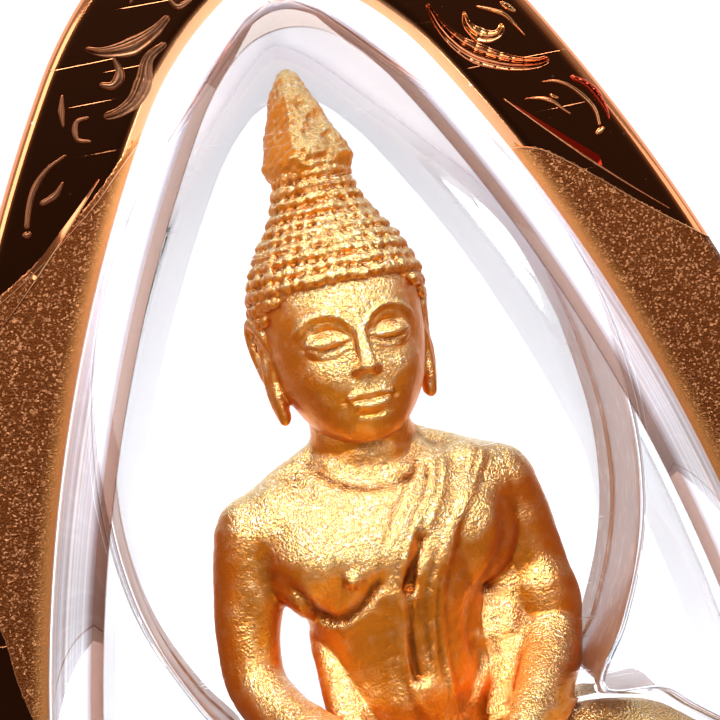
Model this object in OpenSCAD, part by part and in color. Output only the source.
// A cased amulet pendant that lies on its back: a pointed-arch metal frame with a bail,
// two clear case halves that it grips, and a small cast figure seated in their pocket.
// X runs to the right, Y up to the bail and Z out of the front. The back lies on Z = 0.

/* [Frame] */
// Half the widest opening inside the frame's lip
lip_half_w = 14.25; // [14:0.05:14.6]
// Radius of the long arcs at the sides of the lip
side_r = 61.5; // [58:0.5:65]
// Radius of the two arcs that meet in the point at the top
top_r = 12; // [11:0.5:14]
// Angle at which a side arc turns into a top arc
top_turn = 31; // [30:0.5:32]
// Radius of the lower corners of the lip
corner_r = 5; // [4:0.5:6]
// Radius of the gently bowed bottom of the lip
bottom_r = 70; // [50:5:120]
// How far the lip's bottom lies below the widest level
bottom_drop = 4; // [3.8:0.1:4.6]
// Width of the frame's face
face_w = 4.15; // [3.8:0.05:4.5]
// Depth of the frame from front to back
frame_t = 9; // [8:0.5:10]
// Thickness of the frame's metal
metal_t = 1.3; // [1.1:0.1:1.6]
// Radius of the rolled lip
lip_roll_r = 0.6; // [0.4:0.1:0.8]
// Radius of the rounded outer edges
edge_r = 0.5; // [0.3:0.1:0.7]
// How far the side wall bows out at half its depth
side_bow = 0.5; // [0.3:0.1:0.6]

/* [Bail] */
// Radius of the hole that the chain goes through
bail_bore_r = 2.4; // [2:0.1:2.8]
// Outer radius of the bail
bail_outer_r = 3.9; // [3.6:0.1:4.2]
// Width of the bail along its hole
bail_w = 4; // [3:0.5:5]
// How deep the bail is sunk into the point of the frame
bail_sink = 1; // [0.8:0.1:1.2]

/* [Case] */
// Thickness of the whole case
case_t = 15; // [14.5:0.5:16]
// Thickness of the case's front and back walls
wall_t = 1.5; // [1.3:0.1:1.6]
// Width of the shoulder between the lip and the flat front
shoulder_w = 2; // [1.6:0.1:2.4]
// Clearance between the case and the frame, and between the two halves
fit_gap = 0.1; // [0.05:0.05:0.15]
// How much wider the pocket is at the back than at the front, on each side
pocket_draft = 0.4; // [0.2:0.1:0.4]
// Height of the face where the two halves meet
parting = 5; // [4.8:0.1:5.2]

/* [Figure] */
// Height of the figure from the base to the tip of the finial
figure_h = 35.6; // [35.2:0.1:35.7]
// Height of the figure's foot above the widest level of the lip
figure_y = -2.05; // [-2.1:0.05:-2]
// How far the figure sits to the right of the frame's middle
figure_x = 0.25; // [0:0.05:0.3]
// Distance of the body's axis from the flat back of the case
figure_z = 7; // [6.9:0.05:7.1]
// How far the figure is turned to the right in its pocket
figure_turn = 8; // [6:1:9]

/* [Hidden] */

metal = [0.66, 0.39, 0.25];
clear = [0.82, 0.9, 0.96, 0.35];
gold = [0.91, 0.66, 0.24];

// Levels from the back to the front
frame_back = (case_t - frame_t) / 2;
frame_front = frame_back + frame_t;
middle_z = case_t / 2;
channel_d = face_w - metal_t;
flange_d = channel_d - fit_gap;

// Centres of the arcs of the lip's right-hand half
side_c = [lip_half_w - side_r, 0];
top_c = side_c + (side_r - top_r) * [cos(top_turn), sin(top_turn)];
bottom_c = [0, bottom_r - bottom_drop];
corner_c = meeting(side_c, side_r - corner_r, bottom_c, bottom_r - corner_r);

// The frame's point, the bail on it and the middle of the whole pendant
point_y = top_c.y + sqrt(pow(top_r + face_w, 2) - pow(top_c.x, 2));
bail_y = point_y + bail_outer_r - bail_sink;
foot_y = -bottom_drop - face_w - side_bow;
middle_y = (bail_y + bail_outer_r + foot_y) / 2;

// Where two circles meet, on the right-hand side of the line from centre a to centre b
function meeting(a, ra, b, rb) =
    let (gap = norm(b - a), along = (ra * ra - rb * rb + gap * gap) / (2 * gap))
    let (side = sqrt(ra * ra - along * along), way = (b - a) / gap)
    a + along * way + side * [way.y, -way.x];

function direction(from, to) = atan2(to.y - from.y, to.x - from.x);

function arc(c, r, from, to, steps) =
    [for (i = [0 : steps - 1]) let (a = from + (to - from) * i / steps) c + r * [cos(a), sin(a)]];

// The lip's outline moved outwards by d: up the right-hand half, then down its mirror image
function outline(d) =
    let (low = direction(bottom_c, corner_c), side = direction(side_c, corner_c))
    let (tip = acos(-top_c.x / (top_r + d)), tip_y = top_c.y + (top_r + d) * sin(tip))
    let (right = concat(
        arc(bottom_c, bottom_r + d, -90, low, 4),
        arc(corner_c, corner_r + d, low, side, 6),
        arc(side_c, side_r + d, side, top_turn, 12),
        arc(top_c, top_r + d, top_turn, tip, 8),
        [[0, tip_y]]))
    concat(right, [for (i = [len(right) - 2 : -1 : 1]) [-right[i].x, right[i].y]]);

function at_level(points, z) = [for (p = points) [p.x, p.y, z]];

// Triangles between ring a and ring b, each of n points
function joined(a, b, n) =
    [for (i = [0 : n - 1]) let (j = (i + 1) % n)
        each [[a * n + i, b * n + i, b * n + j], [a * n + i, b * n + j, a * n + j]]];

// A closed solid through a stack of rings with flat ends
module stack(rings) {
    n = len(rings[0]);
    last = len(rings) - 1;
    polyhedron(
        points = [for (r = rings) each r],
        faces = concat(
            [[for (i = [0 : n - 1]) i]],
            [for (k = [0 : last - 1]) each joined(k, k + 1, n)],
            [[for (i = [n - 1 : -1 : 0]) last * n + i]]));
}

// A ring-shaped solid: each [d, z] of the section runs once round the outline
module band(section) {
    rings = [for (s = section) at_level(outline(s[0]), s[1])];
    n = len(rings[0]);
    polyhedron(
        points = [for (r = rings) each r],
        faces = [for (k = [0 : len(rings) - 1]) each joined(k, (k + 1) % len(rings), n)]);
}

// Section of the frame: outer edges, rolled lip and the channel that grips the case
function frame_section() =
    let (out = face_w - edge_r)
    concat(
        arc([out, frame_back + edge_r], edge_r, -90, 0, 2),
        [for (t = [0 : 0.25 : 1])
            [face_w + side_bow * sin(180 * t), frame_back + edge_r + t * (frame_t - 2 * edge_r)]],
        arc([out, frame_front - edge_r], edge_r, 30, 90, 2),
        [[out, frame_front]],
        arc([lip_roll_r, frame_front - lip_roll_r], lip_roll_r, 90, 180, 3),
        [[0, frame_front - lip_roll_r], [0, frame_front - metal_t], [channel_d, frame_front - metal_t],
         [channel_d, frame_back + metal_t], [0, frame_back + metal_t]],
        arc([lip_roll_r, frame_back + lip_roll_r], lip_roll_r, 180, 270, 2),
        [[lip_roll_r, frame_back]]);

module bail() {
    round_r = 1;
    translate([0, bail_y, middle_z]) rotate([0, 90, 0])
    difference() {
        rotate_extrude($fn = 48) {
            translate([0, -bail_w / 2]) square([bail_outer_r - round_r, bail_w]);
            translate([0, round_r - bail_w / 2]) square([bail_outer_r, bail_w - 2 * round_r]);
            for (side = [-1, 1])
                translate([bail_outer_r - round_r, side * (bail_w / 2 - round_r)]) circle(round_r, $fn = 24);
        }
        cylinder(h = bail_w + 2, r = bail_bore_r, center = true, $fn = 48);
    }
}

module frame() {
    color(metal) translate([0, -middle_y, 0]) {
        band(frame_section());
        bail();
    }
}

// The outside of the case from height low up to the flat front, with the flange that the frame grips
module case_front(low) {
    flange_top = frame_front - metal_t - fit_gap;
    rise = case_t - frame_front;
    shoulder_turn = 70;
    shoulder = [for (a = [0 : 14 : shoulder_turn])
        [-fit_gap - shoulder_w * (1 - cos(a)) / (1 - cos(shoulder_turn)),
         frame_front + rise * sin(a) / sin(shoulder_turn)]];
    section = concat([[flange_d, low], [flange_d, flange_top], [-fit_gap, flange_top]], shoulder);
    stack([for (s = section) at_level(outline(s[0]), s[1])]);
}

// Half-widths of the pocket at heights above the widest level of the lip, from the foot to the top
POCKET = [
    // level, half_w
    [-2.3, 11.0],
    [-1.7, 12.0],
    [-0.2, 12.7],
    [3.0, 12.7],
    [5.0, 11.8],
    [6.9, 9.6],
    [7.7, 8.6],
    [8.1, 6.6],
    [10.1, 7.8],
    [12.5, 8.9],
    [14.8, 9.5],
    [17.5, 9.7],
    [20.5, 9.4],
    [23.6, 8.8],
    [26.0, 7.9],
    [28.0, 6.7],
    [30.0, 5.0],
    [32.0, 3.1],
    [33.6, 1.5],
    [34.5, 0.6]];

// A point a share t of the way between table rows i and i + 1, on a smooth curve through all of them
function between(rows, i, t) =
    let (a = rows[max(i - 1, 0)], b = rows[i], c = rows[i + 1], d = rows[min(i + 2, len(rows) - 1)])
    0.5 * (2 * b + t * (c - a) + t * t * (2 * a - 5 * b + 4 * c - d) + t * t * t * (3 * b - a - 3 * c + d));

function smoothed(rows, steps) =
    concat([for (i = [0 : len(rows) - 2], k = [0 : steps - 1]) between(rows, i, k / steps)],
        [rows[len(rows) - 1]]);

function pocket_outline(widening) =
    let (right = [for (p = smoothed(POCKET, 2)) [p[1] + widening, p[0]]])
    concat(right, [for (i = [len(right) - 1 : -1 : 0]) [-right[i].x, right[i].y]]);

module pocket() {
    roof_z = case_t - wall_t;
    soft = 0.5;
    stack([
        at_level(pocket_outline(pocket_draft - soft), wall_t),
        at_level(pocket_outline(pocket_draft), wall_t + soft),
        at_level(pocket_outline(0), roof_z - soft),
        at_level(pocket_outline(-soft), roof_z)]);
}

module front_shell() {
    color(clear) translate([0, -middle_y, 0])
    difference() {
        case_front(parting + fit_gap / 2);
        pocket();
    }
}

module back_shell() {
    color(clear) translate([0, -middle_y, 0])
    difference() {
        translate([0, 0, case_t]) mirror([0, 0, 1]) case_front(case_t - parting + fit_gap / 2);
        pocket();
    }
}

// The figure stands in its own frame: foot on Y = 0, the body's axis on X = 0, Z = 0, facing +Z.

// A closed solid through level ovals; each row is a height, a middle and two half-widths
module loft(rows, sides) {
    stack([for (r = rows) [for (i = [0 : sides - 1]) let (a = 360 * i / sides)
        [r[1] + r[3] * sin(a), r[0], r[2] + r[4] * cos(a)]]]);
}

// A limb through balls; each row is x, y, z and the ball's radius
module limb(rows, sides = 16) {
    for (i = [0 : len(rows) - 2])
        hull()
            for (r = [rows[i], rows[i + 1]])
                translate([r[0], r[1], r[2]]) sphere(r[3], $fn = sides);
}

// An egg-shaped lump
module lump(middle, half, sides = 16) {
    translate(middle) scale(half) sphere(1, $fn = sides);
}

TORSO = [
    // height, middle_x, middle_z, half_w, half_d
    [3.0, 0, -1.2, 5.6, 3.6],
    [6.0, 0, -1.3, 5.0, 3.4],
    [8.5, 0, -1.2, 4.0, 2.8],
    [10.5, 0, -0.9, 3.3, 2.4],
    [12.5, 0, -0.7, 3.1, 2.3],
    [14.5, 0, -0.6, 3.7, 2.6],
    [16.2, 0, -0.6, 4.6, 2.8],
    [17.8, 0, -0.8, 5.1, 2.6],
    [18.8, 0, -0.9, 4.5, 2.2],
    [19.5, 0, -0.9, 3.2, 1.9],
    [20.1, 0, -0.8, 2.25, 1.7]];

NECK = [
    // height, middle_x, middle_z, half_w, half_d
    [19.2, 0, -0.8, 2.3, 2.0],
    [19.9, 0, -0.7, 2.1, 1.95],
    [20.2, 0, -0.7, 1.95, 1.8],
    [20.6, 0, -0.6, 2.05, 1.9],
    [20.9, 0, -0.6, 1.9, 1.75],
    [22.2, 0, -0.6, 1.85, 1.7]];

HEAD = [
    // height, middle_x, middle_z, half_w, half_d
    [20.2, 0, 1.3, 0.7, 0.9],
    [20.5, 0, 1.0, 1.4, 1.5],
    [21.2, 0, 0.6, 2.1, 2.1],
    [22.3, 0, 0.2, 2.7, 2.7],
    [23.6, 0, 0.0, 3.0, 3.0],
    [25.0, 0, 0.0, 3.1, 3.2],
    [26.4, 0, -0.1, 3.1, 3.2],
    [27.6, 0, -0.3, 2.6, 2.8],
    [28.4, 0, -0.4, 1.8, 2.0]];

// Rings of curls: the row at the nape, the fullest row, the foot of the crown knot and its top
HAIR_ROWS = 15;
HAIR = [
    // height, middle_x, middle_z, half_w, half_d
    [22.6, 0, -1.2, 2.5, 2.2],
    [25.8, 0, -0.6, 3.35, 3.2],
    [27.9, 0, -0.6, 2.75, 2.8],
    [29.0, 0, -0.6, 1.95, 2.0],
    [30.9, 0, -0.6, 1.35, 1.35]];

FINIAL = [
    // height, middle_x, middle_z, half_w, half_d
    [30.5, 0, -0.6, 1.3, 1.2],
    [31.0, 0, -0.6, 1.6, 1.5],
    [31.5, 0, -0.6, 1.55, 1.45],
    [32.6, 0, -0.6, 1.15, 1.1],
    [33.8, 0, -0.6, 0.95, 0.9],
    [34.6, 0, -0.6, 0.65, 0.6],
    [35.0, 0, -0.6, 0.25, 0.25]];

module hair() {
    groove = 0.16;
    rows = smoothed(HAIR, HAIR_ROWS / 3);
    ridged = [for (i = [0 : len(rows) - 1]) let (cut = (i % 2 == 0) ? groove : 0)
        [rows[i][0], rows[i][1], rows[i][2], rows[i][3] - cut, rows[i][4] - cut]];
    difference() {
        loft(ridged, 32);
        // The face and the temples are free of hair
        translate([0, 23.2, 4.2]) rotate([12, 0, 0]) cube([8, 6.6, 6], center = true);
    }
}

module face() {
    nose_y = 23.7;
    hull() {
        lump([0, 24.9, 2.95], [0.3, 0.5, 0.3], 12);
        lump([0, nose_y - 0.3, 3.3], [0.5, 0.36, 0.38], 12);
    }
    for (side = [-1, 1]) {
        lump([side * 1.25, 24.6, 2.65], [0.75, 0.28, 0.35], 12);
        limb([
            // x, y, z, radius
            [side * 0.45, 25.0, 3.0, 0.14],
            [side * 1.2, 25.45, 2.85, 0.18],
            [side * 2.0, 25.2, 2.4, 0.14]], 8);
    }
    lump([0, 22.42, 2.7], [0.75, 0.17, 0.32], 12);
    lump([0, 22.07, 2.6], [0.57, 0.19, 0.32], 12);
}

module ears() {
    for (side = [-1, 1])
        hull() {
            lump([side * 3.15, 24.6, -0.5], [0.4, 0.7, 0.7], 12);
            lump([side * 2.85, 21.9, -0.2], [0.3, 0.6, 0.4], 12);
        }
}

module arms() {
    for (side = [-1, 1]) {
        limb([
            // x, y, z, radius
            [side * 1.7, 19.8, -0.9, 0.8],
            [side * 4.2, 18.1, -0.9, 1.3]]);
        limb([
            // x, y, z, radius
            [side * 4.85, 17.5, -0.9, 1.6],
            [side * 5.6, 15.2, -1.0, 1.4],
            [side * 5.95, 12.4, -0.8, 1.2],
            [side * 4.8, 9.9, 1.4, 1.1],
            [side * 2.6, 8.6, 4.0, 0.9]]);
    }
    lump([1.0, 8.9, 4.1], [2.4, 0.6, 1.3]);
    lump([-1.0, 8.2, 4.2], [2.4, 0.6, 1.3]);
}

module legs() {
    lap = [
        // height, middle_x, middle_z, half_w, half_d
        [1.0, 0, 0.4, 9.0, 3.8],
        [3.0, 0, 0.6, 9.8, 4.3],
        [5.5, 0, 0.4, 8.4, 3.8],
        [7.2, 0, 0.2, 5.0, 3.2]];
    loft(lap, 32);
    for (side = [-1, 1])
        limb([
            // x, y, z, radius
            [side * 3.6, 6.2, -1.2, 3.3],
            [side * 6.9, 5.6, 0.1, 3.1],
            [side * 9.4, 4.1, 1.3, 2.6]], 20);
    limb([
        // x, y, z, radius
        [-9.4, 4.1, 1.4, 2.6],
        [-4.0, 4.9, 3.5, 2.0],
        [3.5, 6.2, 3.9, 1.4],
        [6.4, 6.6, 3.6, 1.0]]);
    limb([
        // x, y, z, radius
        [9.4, 3.9, 1.4, 2.5],
        [4.0, 3.3, 3.7, 1.9],
        [-4.0, 2.6, 4.1, 1.3]]);
}

// The robe crosses the breast from the shoulder at +X, and the folded sash hangs down its front
module robe() {
    limb([
        // x, y, z, radius
        [3.3, 19.0, -0.6, 0.5],
        [1.6, 18.2, 1.35, 0.35],
        [0.6, 16.0, 2.05, 0.3],
        [-0.6, 13.9, 1.75, 0.3],
        [-2.4, 12.9, 0.8, 0.3],
        [-3.1, 12.6, -0.6, 0.3]], 10);
    for (x = [0.9, 1.8])
        limb([
            // x, y, z, radius
            [x + 1.4, 19.0, -0.2, 0.4],
            [x + 0.5, 17.2, 1.75, 0.4],
            [x, 15.0, 1.85, 0.4],
            [x, 12.0, 1.45, 0.4],
            [x, 9.4, 1.6, 0.4]], 10);
    // Cloth closes the gap between the breast and the robed arm
    limb([
        // x, y, z, radius
        [4.2, 16.6, -0.8, 1.2],
        [4.4, 12.6, -0.8, 1.0],
        [4.0, 9.4, -0.2, 1.3]], 12);
}

module base() {
    half_w = 11.1;
    half_d = 4.9;
    thick = 1.4;
    translate([0, 0, 0.4]) rotate([-90, 0, 0])
        linear_extrude(thick) scale([half_w, half_d]) circle(1, $fn = 48);
}

module figure() {
    color(gold) translate([figure_x, figure_y - middle_y, figure_z]) rotate([0, figure_turn, 0]) scale(figure_h / 35) {
        base();
        legs();
        loft(TORSO, 32);
        arms();
        robe();
        loft(NECK, 24);
        loft(HEAD, 32);
        face();
        ears();
        hair();
        loft(FINIAL, 16);
    }
}

frame();
front_shell();
back_shell();
figure();
